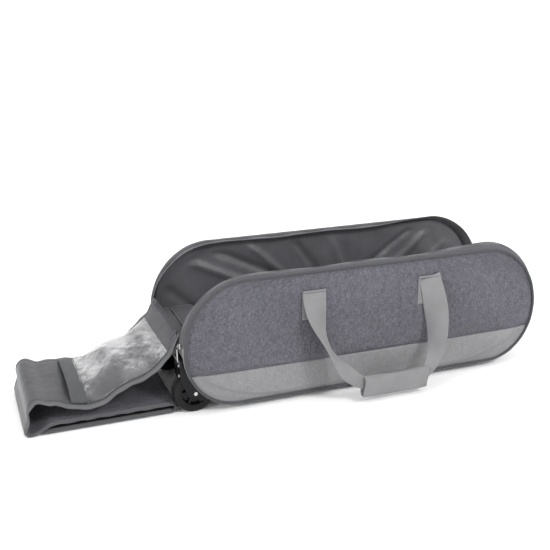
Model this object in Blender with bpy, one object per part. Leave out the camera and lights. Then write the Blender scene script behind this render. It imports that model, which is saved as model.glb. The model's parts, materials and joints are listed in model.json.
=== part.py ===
"""A rolling zip-round carrying case, open: a long soft case with rounded ends, two wheels, two webbing
handles, and a long lid strip that hangs off one end and lies folded on the floor.

X runs along the case, with the wheels and the lid's root at its -X end. Y runs across it, front at -Y.
Z is up from the floor. The origin is on the floor, under the middle of everything together.
"""

import math

import bmesh
import bpy
from mathutils import Vector

# Case, in metres
LENGTH = 0.640
DEPTH = 0.224
BASE_Z = 0.010
TOP_Z = 0.220
WAIST_Z = 0.105
TOP_CORNER_X = 0.105
BOTTOM_CORNER_X = 0.087
SEAM_Z = 0.068
LID_ROOT_Z = 0.120
GAP = 0.0003
ARC_STEP = 11.25

# Walls: how far each layer lies in from the outline, and in from the outer face of a long side
WALL = 0.004
LINING = 0.001
PIPING_RADIUS = 0.0022
PANEL_THICKNESS = 0.0046
PANEL_INSET = 2 * PIPING_RADIUS + GAP + 0.0001
WALL_START = 0.0050
FLANGE_DEPTH = 0.0150
TAPE_DEPTH = 0.0225
TAPE_INSETS = (0.0012, 0.0030)

# Wheels
WHEEL_RADIUS = 0.034
WHEEL_WIDTH = 0.022
WHEEL_X = -0.300
WHEEL_INWARD = 0.029
HUB_RADIUS = 0.0237
AXLE_RADIUS = 0.003
HOUSING_WIDTH = 0.033
HOUSING_LEFT = -0.3245
HOUSING_RIGHT = -0.2555
HOUSING_TOP = 0.098
HOUSING_CORNER = 0.010
WELL_WIDTH = WHEEL_WIDTH + 0.0024
WELL_RADIUS = WHEEL_RADIUS + 0.0032

# Handles
WEB_WIDTH = 0.040
WEB_THICKNESS = 0.0016
HANDLE_ROOTS = (-0.106, 0.101)
HANDLE_PIVOT_Z = 0.1885
PATCH_BOTTOM_Z = 0.140
GRIP_X = (-0.037, 0.079)
GRIP_Z = 0.029
GRIP_OUTWARD = 0.048
GRIP_HEIGHT = 0.036
GRIP_THICKNESS = 0.014
GRIP_WALL = 0.002

# Lid strip: the lengths and directions at rest of each panel's straight stretches, in degrees round from +X as
# seen from the front. The layer that is folded under starts a little below the end of the layer above.
LID_WIDTH = 0.177
LID_THICKNESS = 0.005
LID_PANELS = (
    ((0.0760, 222),),
    ((0.0740, 199.5), (0.1152, 177)),
    ((0.0353, 270),),
    ((0.2262, 0),),
    ((0.0683, 180),),
    ((0.0740, 180),),
    ((0.0600, 180),),
)
UNDER_PANEL = 4
LAYER_DROP = 0.0115
FOLD_ROOM = 0.003
POCKET_SHEET = 0.0010
POCKET_SLOPE = 0.030
HEM_START = 0.0205
HEM_END = 0.0440

PULL_HANDLE_REACH = 0.022
CASE_X = 0.1098
SIDES = (("front", 1), ("back", -1))


def material(name, color, roughness, metallic=0.0, alpha=1.0):
    made = bpy.data.materials.new(name)
    made.use_nodes = True
    shader = made.node_tree.nodes["Principled BSDF"]
    shader.inputs["Base Color"].default_value = (*color, 1.0)
    shader.inputs["Roughness"].default_value = roughness
    shader.inputs["Metallic"].default_value = metallic
    shader.inputs["Alpha"].default_value = alpha
    return made


def add_object(name, bm, look, pivot=(0, 0, 0)):
    """Makes an object of the shape, with its origin at the pivot."""
    bmesh.ops.recalc_face_normals(bm, faces=bm.faces)
    bmesh.ops.translate(bm, verts=bm.verts, vec=-Vector(pivot))
    mesh = bpy.data.meshes.new(name)
    bm.to_mesh(mesh)
    bm.free()
    mesh.materials.append(look)
    mesh.set_sharp_from_angle(angle=math.radians(35))
    obj = bpy.data.objects.new(name, mesh)
    obj.location = Vector(pivot) + Vector((CASE_X, 0, 0))
    bpy.context.scene.collection.objects.link(obj)
    return obj


def loft(name, rings, look, pivot=(0, 0, 0), twisted=False):
    """A solid through rings of equal point counts, closed at both ends. One that twists is made of triangles."""
    bm = bmesh.new()
    made = [[bm.verts.new(point) for point in ring] for ring in rings]
    count = len(made[0])
    for first, second in zip(made, made[1:]):
        for i in range(count):
            j = (i + 1) % count
            bm.faces.new((first[i], first[j], second[j], second[i]))
    bm.faces.new(made[0])
    bm.faces.new(made[-1])
    if twisted:
        bmesh.ops.triangulate(bm, faces=bm.faces)
    return add_object(name, bm, look, pivot)


def prism(name, profile, y_span, look, pivot=(0, 0, 0)):
    """A solid with one (x, z) profile all across its width."""
    rings = [[(x, y, z) for x, z in profile] for y in y_span]
    return loft(name, rings, look, pivot)


def block(name, x_span, y_span, z_span, look, pivot=(0, 0, 0)):
    (left, right), (low, high) = x_span, z_span
    profile = [(left, low), (right, low), (right, high), (left, high)]
    return prism(name, profile, y_span, look, pivot)


def lathe(name, profile, centre, look, steps=28):
    """A solid turned about an axle along Y. The profile is a loop of (radius, y) points."""
    bm = bmesh.new()
    turns = []
    for step in range(steps):
        angle = math.tau * step / steps
        x, z = math.cos(angle), math.sin(angle)
        turns.append(
            [bm.verts.new((centre[0] + r * x, centre[1] + y, centre[2] + r * z)) for r, y in profile]
        )
    for step in range(steps):
        near, far = turns[step], turns[(step + 1) % steps]
        for i in range(len(profile)):
            j = (i + 1) % len(profile)
            bm.faces.new((near[i], near[j], far[j], far[i]))
    return add_object(name, bm, look, centre)


def rod(name, centre, radius, y_span, look, steps=16):
    """A round bar along Y."""
    rings = []
    for y in y_span:
        angles = [math.tau * step / steps for step in range(steps)]
        rings.append([(centre[0] + radius * math.cos(a), y, centre[1] + radius * math.sin(a)) for a in angles])
    return loft(name, rings, look)


def cut(obj, cutter):
    """Takes the cutter's shape out of an object."""
    cutter.hide_render = True
    cutter.display_type = "WIRE"
    carve = obj.modifiers.new("cut_" + cutter.name, "BOOLEAN")
    carve.operation = "DIFFERENCE"
    carve.solver = "EXACT"
    carve.object = cutter


def from_side(side, inward):
    """The y of a plane that lies inward of a long side's outer face. A negative value is outside it."""
    return -side * (DEPTH / 2 - inward)


def y_span(side, outer, inner):
    return sorted((from_side(side, outer), from_side(side, inner)))


def outline_point(angle, inset):
    """A point of the case's end shape. The angle runs from the right end's widest point, over the top."""
    angle %= 360
    upper = angle <= 180
    corner_x = TOP_CORNER_X if upper else BOTTOM_CORNER_X
    corner_z = TOP_Z - WAIST_Z if upper else WAIST_Z - BASE_Z
    right = angle <= 90 or angle > 270
    centre_x = (LENGTH / 2 - corner_x) * (1 if right else -1)
    turn = math.radians(angle)
    x = centre_x + (corner_x - inset) * math.cos(turn)
    return x, WAIST_Z + (corner_z - inset) * math.sin(turn)


def outline(inset, first, last):
    """The end shape's points between two angles. The straight top and bottom need only their two ends."""
    angles = [first]
    angle = (math.floor(first / ARC_STEP) + 1) * ARC_STEP
    while angle < last - 0.01:
        angles.append(angle)
        if angle % 360 in (90, 270):
            angles.append(angle + 0.001)
        angle += ARC_STEP
    return [outline_point(angle, inset) for angle in angles + [last]]


def angle_at(z, inset=0.0):
    """How far above or below the waist a height lies, as an angle of the end shape."""
    reach = TOP_Z - WAIST_Z if z > WAIST_Z else WAIST_Z - BASE_Z
    return math.degrees(math.asin((z - WAIST_Z) / (reach - inset)))


def band(name, angles, insets, span, look):
    """A wall that follows the end shape, between two angles and two depths in from it."""
    outer = outline(insets[0], *angles)
    inner = outline(insets[1], *angles)
    return prism(name, outer + inner[::-1], span, look)


def rounded_box(y_mid, z_mid, width, height, corner):
    """The (y, z) points of a box with cut corners."""
    y, z = width / 2, height / 2
    points = [(-y, -z + corner), (-y + corner, -z), (y - corner, -z), (y, -z + corner)]
    points += [(y, z - corner), (y - corner, z), (-y + corner, z), (-y, z - corner)]
    return [(y_mid + a, z_mid + b) for a, b in points]


def bezier(points, t):
    a, b, c, d = (Vector(p) for p in points)
    s = 1 - t
    return a * s**3 + b * 3 * s * s * t + c * 3 * s * t * t + d * t**3


def ribbon_ring(centre, tangent, facing, width):
    """The four corners of flat webbing that runs along the tangent, with one face turned to facing."""
    across = tangent.cross(facing).normalized()
    out = across.cross(tangent).normalized()
    half_w, half_t = width / 2, WEB_THICKNESS / 2
    corners = ((-half_w, -half_t), (half_w, -half_t), (half_w, half_t), (-half_w, half_t))
    return [centre + across * a + out * b for a, b in corners]


def build_long_side(name, side, looks):
    """One long side: heather panel over a light band, lining behind them, and piping round the rim."""
    panel_y = y_span(side, 0.0004, 0.0004 + PANEL_THICKNESS)
    above = angle_at(SEAM_Z + GAP / 2, PANEL_INSET)
    below = angle_at(SEAM_Z - GAP / 2, PANEL_INSET)
    upper = outline(PANEL_INSET, above, 180 - above)
    lower = outline(PANEL_INSET, 180 - below, 360 + below)
    prism(name + "_panel_upper", upper, panel_y, looks["heather"])
    prism(name + "_panel_band", lower, panel_y, looks["light"])
    lining_y = y_span(side, WALL_START + GAP, WALL_START + GAP + LINING)
    ring = outline(WALL + 2 * GAP, 0, 360)[:-1]
    prism(name + "_panel_lining", ring, lining_y, looks["lining"])
    build_piping(name, side, looks["piping"])


def build_piping(name, side, look):
    curve = bpy.data.curves.new(name + "_piping", "CURVE")
    curve.dimensions = "3D"
    curve.bevel_depth = PIPING_RADIUS
    curve.bevel_resolution = 1
    path = outline(PIPING_RADIUS, 0, 360)[:-1]
    spline = curve.splines.new("POLY")
    spline.points.add(len(path) - 1)
    for point, (x, z) in zip(spline.points, path):
        point.co = (x, from_side(side, PIPING_RADIUS), z, 1)
    spline.use_cyclic_u = True
    curve.materials.append(look)
    piping = bpy.data.objects.new(name + "_piping", curve)
    piping.location.x = CASE_X
    bpy.context.scene.collection.objects.link(piping)


def build_rim(name, side, looks):
    """The fixed flange over the top of one long side, its zipper tape, and the slider at the lid's root."""
    start = angle_at(LID_ROOT_Z)
    arch = (start, 180 - start)
    insets = (0, WALL)
    band(name + "_rim_flange", arch, insets, y_span(side, WALL_START, FLANGE_DEPTH), looks["heather"])
    tape_y = y_span(side, FLANGE_DEPTH + GAP, TAPE_DEPTH)
    band(name + "_zipper_tape", arch, TAPE_INSETS, tape_y, looks["piping"])
    left = -LENGTH / 2
    slider_y = y_span(side, 0.0152, 0.0222)
    block(name + "_slider", (left - 0.0053, left - 0.0004), slider_y, (0.112, 0.121), looks["steel"])
    pull_x = (left - 0.0075, left - 0.0058)
    pivot = (left - 0.0066, from_side(side, 0.0187), 0.113)
    block(name + "_slider_pull", pull_x, y_span(side, 0.0162, 0.0212), (0.091, 0.1125), looks["steel"], pivot)


def build_floor(looks):
    """The wall round the bottom and ends, its lining, the stiff board and the pad on it."""
    below_root = angle_at(LID_ROOT_Z - 0.003)
    around = (180 - below_root, 360 + below_root)
    inner_y = DEPTH / 2 - WALL_START
    gusset = band("lower_gusset", around, (0, WALL), (-inner_y, inner_y), looks["light"])
    lining_y = inner_y - LINING - 3 * GAP
    lining_insets = (WALL + GAP, WALL + GAP + LINING)
    lining = band("gusset_lining", around, lining_insets, (-lining_y, lining_y), looks["lining"])
    for name, side in SIDES:
        y_low, y_high = y_span(side, WHEEL_INWARD - HOUSING_WIDTH / 2, WHEEL_INWARD + HOUSING_WIDTH / 2)
        hole_y = (y_low - GAP, y_high + GAP)
        hole_x = (HOUSING_LEFT - 0.02, HOUSING_RIGHT + GAP)
        hole = block("hole_for_" + name, hole_x, hole_y, (-0.01, HOUSING_TOP + GAP), looks["black"])
        cut(gusset, hole)
        cut(lining, hole)
    board_z = BASE_Z + WALL + LINING + 3 * GAP
    board_y = lining_y - 0.0005
    block("base_board", (-0.236, 0.236), (-board_y, board_y), (board_z, board_z + 0.003), looks["board"])
    pad_z = board_z + 0.003 + GAP
    block("floor_pad", (-0.236, 0.236), (-board_y, board_y), (pad_z, pad_z + 0.003), looks["lining"])
    cover = [(-0.3135, 0.1038), (-0.2435, 0.1038), (-0.2435, 0.0165), (-0.2405, 0.0165)]
    cover += [(-0.2405, 0.1070), (-0.3135, 0.1070)]
    prism("wheel_well_cover", cover, (-board_y, board_y), looks["lining"])


def housing_profile():
    """The fender's side view: tall and round-cornered on top, with a lug down to the axle."""
    profile = [(HOUSING_LEFT, 0.060)]
    for centre_x, first in ((HOUSING_LEFT + HOUSING_CORNER, 180), (HOUSING_RIGHT - HOUSING_CORNER, 90)):
        for step in range(5):
            turn = math.radians(first - 22.5 * step)
            x = centre_x + HOUSING_CORNER * math.cos(turn)
            profile.append((x, HOUSING_TOP - HOUSING_CORNER + HOUSING_CORNER * math.sin(turn)))
    return profile + [(HOUSING_RIGHT, 0.0165), (-0.292, 0.0215), (-0.311, 0.030)]


def build_wheel(name, side, looks):
    centre = (WHEEL_X, from_side(side, WHEEL_INWARD), WHEEL_RADIUS)
    middle = (WHEEL_X, WHEEL_RADIUS)
    half = HOUSING_WIDTH / 2
    housing_y = (centre[1] - half, centre[1] + half)
    housing = prism(name + "_wheel_housing", housing_profile(), housing_y, looks["black"])
    well_y = (centre[1] - WELL_WIDTH / 2, centre[1] + WELL_WIDTH / 2)
    cut(housing, rod(name + "_wheel_room", middle, WELL_RADIUS, well_y, looks["black"], steps=32))
    below = (WHEEL_X - WELL_RADIUS, WHEEL_X + WELL_RADIUS)
    cut(housing, block(name + "_wheel_way", below, well_y, (-0.01, WHEEL_RADIUS), looks["black"]))
    axle_hole_y = (housing_y[0] - 0.01, housing_y[1] + 0.01)
    cut(housing, rod(name + "_axle_hole", middle, AXLE_RADIUS + GAP, axle_hole_y, looks["black"]))
    rod(name + "_axle", middle, AXLE_RADIUS, housing_y, looks["steel"])
    build_rivets(name, side, looks["steel"])

    half = WHEEL_WIDTH / 2
    rim, bead = HUB_RADIUS + GAP, 0.003
    tyre = [(rim, -half), (WHEEL_RADIUS - bead, -half), (WHEEL_RADIUS, -half + bead)]
    tyre += [(WHEEL_RADIUS, half - bead), (WHEEL_RADIUS - bead, half), (rim, half)]
    lathe(name + "_tyre", tyre, centre, looks["rubber"])
    bore, boss, dish = AXLE_RADIUS + GAP, 0.008, 0.005
    hub = [(bore, -half), (boss, -half), (boss + 0.002, -half + dish), (HUB_RADIUS - 0.004, -half + dish)]
    hub += [(HUB_RADIUS - 0.002, -half), (HUB_RADIUS, -half), (HUB_RADIUS, half), (HUB_RADIUS - 0.002, half)]
    hub += [(HUB_RADIUS - 0.004, half - dish), (boss + 0.002, half - dish), (boss, half), (bore, half)]
    lathe(name + "_hub", hub, centre, looks["black"])


def build_rivets(name, side, look):
    """Two round-headed rivets on the fender's outer end."""
    y = from_side(side, 0.0185)
    for place, z in (("upper", 0.084), ("lower", 0.067)):
        rings = []
        for out, radius in ((GAP, 0.0026), (0.0010, 0.0026), (0.0018, 0.0014)):
            angles = [math.tau * step / 10 for step in range(10)]
            x = HOUSING_LEFT - out
            rings.append([(x, y + radius * math.cos(a), z + radius * math.sin(a)) for a in angles])
        loft(f"{name}_rivet_{place}", rings, look)


def strap_leg(side, top, steer_down, steer_in, bottom, twist):
    """Rings of webbing from its fold at the top down to the grip, turning about its own line on the way."""
    rings = []
    steps = 8
    route = [(x, from_side(side, -out), z) for x, out, z in (top, steer_down, steer_in, bottom)]
    for step in range(steps + 1):
        t = step / steps
        tangent = (bezier(route, min(t + 0.01, 1)) - bezier(route, max(t - 0.01, 0))).normalized()
        turn = math.radians(twist) * math.sin(math.pi * t) ** 2
        facing = Vector((math.sin(turn), -side * math.cos(turn), 0))
        width = WEB_WIDTH + (GRIP_HEIGHT - 0.006 - WEB_WIDTH) * t
        rings.append(ribbon_ring(bezier(route, t), tangent, facing, width))
    return rings


def build_handle(name, side, looks):
    """One carrying handle: two sewn roots, and webbing that hangs from them through a grip wrap."""
    for place, x in zip(("left", "right"), HANDLE_ROOTS):
        root_x = (x - WEB_WIDTH / 2, x + WEB_WIDTH / 2)
        patch_y = y_span(side, -0.0015, 0.0001)
        block(f"{name}_{place}_strap_patch", root_x, patch_y, (PATCH_BOTTOM_Z, 0.188), looks["webbing"])
    left_x, right_x = HANDLE_ROOTS
    top_z = HANDLE_PIVOT_Z - 0.002
    pivot = (0, from_side(side, -0.0028), HANDLE_PIVOT_Z)
    rings = strap_leg(
        side,
        (left_x, 0.0028, top_z),
        (left_x, 0.008, 0.120),
        (-0.090, GRIP_OUTWARD, GRIP_Z),
        (GRIP_X[0] - 0.004, GRIP_OUTWARD, GRIP_Z),
        30,
    )
    right = strap_leg(
        side,
        (right_x, 0.0028, top_z),
        (right_x, 0.012, 0.120),
        (0.124, GRIP_OUTWARD, GRIP_Z),
        (GRIP_X[1] + 0.004, GRIP_OUTWARD, GRIP_Z),
        -30,
    )
    # The right leg is met from its lower end, so its rings turn over to join the left leg's.
    rings += [[ring[i] for i in (1, 0, 3, 2)] for ring in right[::-1]]
    loft(name + "_strap", rings, looks["webbing"], pivot, twisted=True)

    y_mid = from_side(side, -GRIP_OUTWARD)
    section = rounded_box(y_mid, GRIP_Z, GRIP_THICKNESS, GRIP_HEIGHT, 0.0025)
    grip = loft(name + "_grip_wrap", [[(x, y, z) for y, z in section] for x in GRIP_X], looks["webbing"], pivot)
    inside = GRIP_THICKNESS / 2 - GRIP_WALL
    inside_z = GRIP_HEIGHT / 2 - GRIP_WALL
    room_x = (GRIP_X[0] - 0.01, GRIP_X[1] + 0.01)
    room_z = (GRIP_Z - inside_z, GRIP_Z + inside_z)
    cut(grip, block(name + "_grip_room", room_x, (y_mid - inside, y_mid + inside), room_z, looks["webbing"]))


def build_pull_handle(looks):
    """The webbing loop on the end away from the wheels, to tow the case by."""
    end = LENGTH / 2 + 0.0005
    half_span, root, steps = 0.062, 0.014, 12
    rings = []
    for step in range(steps + 1):
        y = -half_span + root + (half_span - root) * 2 * step / steps
        reach = PULL_HANDLE_REACH * math.sin(math.pi * step / steps)
        rings.append((end + reach, y))
    rings = [(end, -half_span)] + rings + [(end, half_span)]
    z_low, z_high = 0.086, 0.117
    made = []
    for x, y in rings:
        made.append([(x, y, z_low), (x + WEB_THICKNESS, y, z_low), (x + WEB_THICKNESS, y, z_high), (x, y, z_high)])
    loft("end_pull_handle", made, looks["webbing"])


def build_feet(looks):
    """Two rubber feet that hold the towing end level with the wheels."""
    for name, side in SIDES:
        y_low, y_high = y_span(side, 0.028, 0.058)
        top = BASE_Z - GAP
        rings = []
        for z, inset in ((top, 0), (0.003, 0), (0, 0.003)):
            left, right = 0.188 + inset, 0.226 - inset
            near, far = y_low + inset, y_high - inset
            rings.append([(left, near, z), (right, near, z), (right, far, z), (left, far, z)])
        loft(name + "_foot", rings, looks["rubber"])


def lid_layout():
    """Each lid panel's stretches, as (start, unit direction, inner normal, length) in the XZ plane at rest."""
    start = Vector((-LENGTH / 2, LID_ROOT_Z))
    panels = []
    for number, stretches in enumerate(LID_PANELS):
        if number == UNDER_PANEL:
            start = start - Vector((0, LAYER_DROP))
        places = []
        for length, degrees in stretches:
            turn = math.radians(degrees)
            along = Vector((math.cos(turn), math.sin(turn)))
            inner = Vector((math.sin(turn), -math.cos(turn)))
            places.append((start, along, inner, length))
            start = start + along * length
        panels.append(places)
    return panels


def on_panel(place, s, n):
    start, along, inner, _ = place
    return start + along * s + inner * n


def bend_place(before, after):
    """The place between two stretches of one panel, with its normal halfway and lengthened for the mitre."""
    normal = (before[2] + after[2]).normalized()
    return (after[0], after[1], normal / normal.dot(after[2]), 0)


def fold_pivot(number, places):
    """Where a panel turns: at its start, or midway to the layer above it."""
    rise = LAYER_DROP / 2 if number == UNDER_PANEL else 0
    return (places[0][0].x, 0, places[0][0].y + rise)


def build_lid(looks):
    """The strip that closes the top, in panels that bend where it folds."""
    width = (-LID_WIDTH / 2, LID_WIDTH / 2)
    half = LID_THICKNESS / 2
    panels = lid_layout()
    for number, places in enumerate(panels):
        final = places[-1][3] - (0 if number == len(panels) - 1 else FOLD_ROOM)
        stations = [(places[0], FOLD_ROOM)]
        stations += [(bend_place(a, b), 0) for a, b in zip(places, places[1:])]
        stations.append((places[-1], final))
        profile = [tuple(on_panel(place, s, -half)) for place, s in stations]
        profile += [tuple(on_panel(place, s, half)) for place, s in stations[::-1]]
        prism(f"lid_panel_{number + 1}", profile, width, looks["heather"], fold_pivot(number, places))
    build_pocket(panels, looks)


def pocket_ring(place, s, height, sheet):
    """One section of a raised sheet: it slopes up from both edges of the lid to a flat crown."""
    edge = LID_WIDTH / 2 - 0.008
    crown = edge - POCKET_SLOPE
    base = LID_THICKNESS / 2 + GAP
    outer = [(-edge, base), (-crown, base + height), (crown, base + height), (edge, base)]
    inner = [(edge - 2 * sheet, base), (crown - sheet / 2, base + height - sheet)]
    inner += [(-crown + sheet / 2, base + height - sheet), (-edge + 2 * sheet, base)]
    points = []
    for y, n in outer + inner:
        x, z = on_panel(place, s, n)
        points.append((x, y, z))
    return points


def build_pocket(panels, looks):
    """The clear pocket on the lid's inner face, in one piece for each panel it spans, and its hem."""
    near, far = panels[0][0], panels[1][1]
    bend = bend_place(panels[1][0], far)
    spans = (
        ("clear_pocket_1", panels[0], ((near, 0.020, 0.010), (near, 0.065, 0.024))),
        (
            "clear_pocket_2",
            panels[1],
            ((panels[1][0], 0.0115, 0.025), (bend, 0, 0.023), (far, HEM_START - GAP, 0.018)),
        ),
    )
    for name, places, ends in spans:
        rings = [pocket_ring(place, s, height, POCKET_SHEET) for place, s, height in ends]
        loft(name, rings, looks["clear"], fold_pivot(0, places))
    rings = [pocket_ring(far, s, height, 0.002) for s, height in ((HEM_START, 0.018), (HEM_END, 0.012))]
    loft("pocket_hem", rings, looks["light"], fold_pivot(0, panels[1]))


def main():
    for obj in list(bpy.data.objects):
        bpy.data.objects.remove(obj, do_unlink=True)
    looks = {
        "heather": material("heather_fabric", (0.155, 0.152, 0.175), 0.90),
        "light": material("light_fabric", (0.310, 0.310, 0.315), 0.90),
        "lining": material("lining_nylon", (0.090, 0.090, 0.098), 0.50),
        "piping": material("dark_binding", (0.070, 0.070, 0.080), 0.70),
        "webbing": material("grey_webbing", (0.330, 0.330, 0.330), 0.85),
        "clear": material("clear_vinyl", (0.850, 0.850, 0.850), 0.08, alpha=0.3),
        "black": material("black_plastic", (0.012, 0.012, 0.013), 0.35),
        "rubber": material("black_rubber", (0.015, 0.015, 0.015), 0.65),
        "steel": material("plated_steel", (0.600, 0.600, 0.600), 0.30, metallic=1.0),
        "board": material("stiff_board", (0.050, 0.050, 0.050), 0.80),
    }
    build_floor(looks)
    for name, side in SIDES:
        build_long_side(name, side, looks)
        build_rim(name, side, looks)
        build_wheel(name, side, looks)
        build_handle(name, side, looks)
    build_pull_handle(looks)
    build_feet(looks)
    build_lid(looks)


main()
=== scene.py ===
"""The looks of a rolling, zip-round carrying case, standing open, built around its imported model."""

import json
import math
import random

import bmesh
import bpy
import numpy as np
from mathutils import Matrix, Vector


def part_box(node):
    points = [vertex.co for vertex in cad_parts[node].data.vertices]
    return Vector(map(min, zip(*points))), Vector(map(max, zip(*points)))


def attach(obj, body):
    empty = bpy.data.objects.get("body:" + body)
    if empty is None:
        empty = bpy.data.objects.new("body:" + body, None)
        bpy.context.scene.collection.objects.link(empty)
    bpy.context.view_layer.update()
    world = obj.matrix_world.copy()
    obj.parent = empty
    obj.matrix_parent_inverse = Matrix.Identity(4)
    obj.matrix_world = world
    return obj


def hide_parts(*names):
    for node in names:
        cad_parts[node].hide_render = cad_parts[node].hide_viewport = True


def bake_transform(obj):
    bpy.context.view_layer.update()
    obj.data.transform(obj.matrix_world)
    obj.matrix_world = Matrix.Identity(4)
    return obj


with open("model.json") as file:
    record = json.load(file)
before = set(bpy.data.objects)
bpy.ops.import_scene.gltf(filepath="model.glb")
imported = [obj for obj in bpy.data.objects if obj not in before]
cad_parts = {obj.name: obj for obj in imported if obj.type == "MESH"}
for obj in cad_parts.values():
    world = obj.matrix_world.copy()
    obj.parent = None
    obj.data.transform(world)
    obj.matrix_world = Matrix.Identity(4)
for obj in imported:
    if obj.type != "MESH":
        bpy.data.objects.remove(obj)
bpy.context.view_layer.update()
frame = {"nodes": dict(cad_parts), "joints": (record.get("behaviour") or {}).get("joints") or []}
JOINTS = {joint["name"]: joint for joint in frame["joints"]}

# The case's main planes, read from the frame
WALL_LOW, WALL_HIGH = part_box("lower_gusset")
CASE_X = (WALL_LOW.x + WALL_HIGH.x) / 2
HALF_LENGTH = (WALL_HIGH.x - WALL_LOW.x) / 2
BASE_Z = WALL_LOW.z
TOP_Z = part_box("front_rim_flange")[1].z
HALF_DEPTH = -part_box("front_piping")[0].y
LID_ROOT_Z = JOINTS["lid_swing"]["pos_m"][2]
SEAM_Z = (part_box("front_panel_upper")[0].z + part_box("front_panel_band")[1].z) / 2

# The end shape's corners, each as its width and height, and the sizes of cord, thread, coil and yarn
WAIST_Z = 0.105
TOP_CORNER = (0.105, TOP_Z - WAIST_Z)
BOTTOM_CORNER = (0.087, WAIST_Z - BASE_Z)
PIPING_RADIUS = 0.0023
STITCH_RADIUS = 0.00032
COIL_PITCH = 0.0022
YARN_PITCH = 0.0011
SIDES = (("front", 1), ("back", -1))

# The stage
FLOOR_SIZE = 60.0
FLOOR_WHITE = 0.97
WORLD_STRENGTH = 1.04
CAMERA_PLACE = (-0.5292, -1.3429, 0.6701)
CAMERA_AIM = (0.3361, 0.8847, -0.3229)
CAMERA_LENS = 58.9
LIGHTS = (
    # name, place, size in metres, power in watts
    ("key", (1.0, -1.9, 1.9), 0.5, 34),
    ("top", (-0.3, 0.2, 2.6), 2.2, 16),
    ("left_fill", (-2.4, -1.2, 1.2), 0.8, 20),
)


# ---------------------------------------------------------------- camera and light

def build_stage():
    scene = bpy.context.scene
    camera = bpy.data.cameras.new("camera")
    camera.lens = CAMERA_LENS
    camera.sensor_width = 36
    eye = bpy.data.objects.new("camera", camera)
    eye.location = CAMERA_PLACE
    eye.rotation_euler = Vector(CAMERA_AIM).to_track_quat("-Z", "Y").to_euler()
    scene.collection.objects.link(eye)
    scene.camera = eye
    scene.view_settings.view_transform = "Standard"

    scene.world = bpy.data.worlds.new("studio")
    scene.world.use_nodes = True
    background = scene.world.node_tree.nodes["Background"]
    background.inputs["Color"].default_value = (1, 1, 1, 1)
    background.inputs["Strength"].default_value = WORLD_STRENGTH
    for light in LIGHTS:
        add_light(*light)

    bpy.ops.mesh.primitive_plane_add(size=FLOOR_SIZE)
    floor = bpy.context.object
    floor.name = "floor"
    look = Look("floor", 0.9)
    look.shader.inputs["Base Color"].default_value = (FLOOR_WHITE, FLOOR_WHITE, FLOOR_WHITE, 1)
    floor.data.materials.append(look.material)


def add_light(name, place, size, power):
    lamp = bpy.data.lights.new(name, "AREA")
    lamp.size = size
    lamp.energy = power
    obj = bpy.data.objects.new(name, lamp)
    obj.location = place
    aim = Vector((0, 0, 0.1)) - Vector(place)
    obj.rotation_euler = aim.to_track_quat("-Z", "Y").to_euler()
    bpy.context.scene.collection.objects.link(obj)


# ---------------------------------------------------------------- materials

class Look:
    """A Principled material and the nodes that feed it."""

    def __init__(self, name, roughness, **settings):
        self.material = bpy.data.materials.new(name)
        self.material.use_nodes = True
        self.tree = self.material.node_tree
        self.shader = self.tree.nodes["Principled BSDF"]
        self.shader.inputs["Roughness"].default_value = roughness
        for socket, value in settings.items():
            self.shader.inputs[socket.replace("_", " ")].default_value = value

    def node(self, kind, inputs=(), **settings):
        made = self.tree.nodes.new(kind)
        for key, value in settings.items():
            setattr(made, key, value)
        for socket, value in dict(inputs).items():
            if isinstance(value, bpy.types.NodeSocket):
                self.tree.links.new(value, made.inputs[socket])
            else:
                made.inputs[socket].default_value = value
        return made

    def coords(self, stretch, space="UV"):
        """Texture coordinates in metres, multiplied by a scale for each axis."""
        place = self.node("ShaderNodeTexCoord").outputs[space]
        return self.node("ShaderNodeMapping", {"Vector": place, "Scale": stretch}).outputs["Vector"]

    def noise(self, vector, detail=2.0, roughness=0.5):
        settings = {"Vector": vector, "Scale": 1.0, "Detail": detail, "Roughness": roughness}
        return self.node("ShaderNodeTexNoise", settings).outputs["Fac"]

    def ribs(self, pitch, direction):
        """Even ribs, a pitch apart in metres."""
        turns = math.tau / 20 / pitch
        inputs = {"Vector": self.coords((turns, turns, 1)), "Scale": 1.0, "Distortion": 0.0}
        return self.node("ShaderNodeTexWave", inputs, bands_direction=direction).outputs["Fac"]

    def math(self, operation, a, b):
        return self.node("ShaderNodeMath", {0: a, 1: b}, operation=operation).outputs[0]

    def ramp(self, value, stops):
        made = self.node("ShaderNodeValToRGB", {"Fac": value})
        points = made.color_ramp.elements
        while len(points) < len(stops):
            points.new(0.5)
        for point, (place, color) in zip(points, stops):
            point.position = place
            point.color = (*color, 1)
        return made.outputs["Color"]

    def shaded(self, color, value, *stops):
        """A colour multiplied by greys that follow a value."""
        greys = self.ramp(value, [(place, (grey,) * 3) for place, grey in stops])
        inputs = {0: 1.0, 6: color, 7: greys}
        return self.node("ShaderNodeMix", inputs, data_type="RGBA", blend_type="MULTIPLY").outputs[2]

    def color(self, value):
        self.tree.links.new(value, self.shader.inputs["Base Color"])

    def roughness(self, value, low, high):
        spread = self.node("ShaderNodeMapRange", {"Value": value, "To Min": low, "To Max": high})
        self.tree.links.new(spread.outputs["Result"], self.shader.inputs["Roughness"])

    def bump(self, *layers):
        """Each layer is (height, strength, distance in metres)."""
        normal = None
        for height, strength, distance in layers:
            inputs = {"Height": height, "Strength": strength, "Distance": distance}
            if normal is not None:
                inputs["Normal"] = normal
            normal = self.node("ShaderNodeBump", inputs).outputs["Normal"]
        self.tree.links.new(normal, self.shader.inputs["Normal"])


def shade(color, factor):
    return tuple(channel * factor for channel in color)


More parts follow.
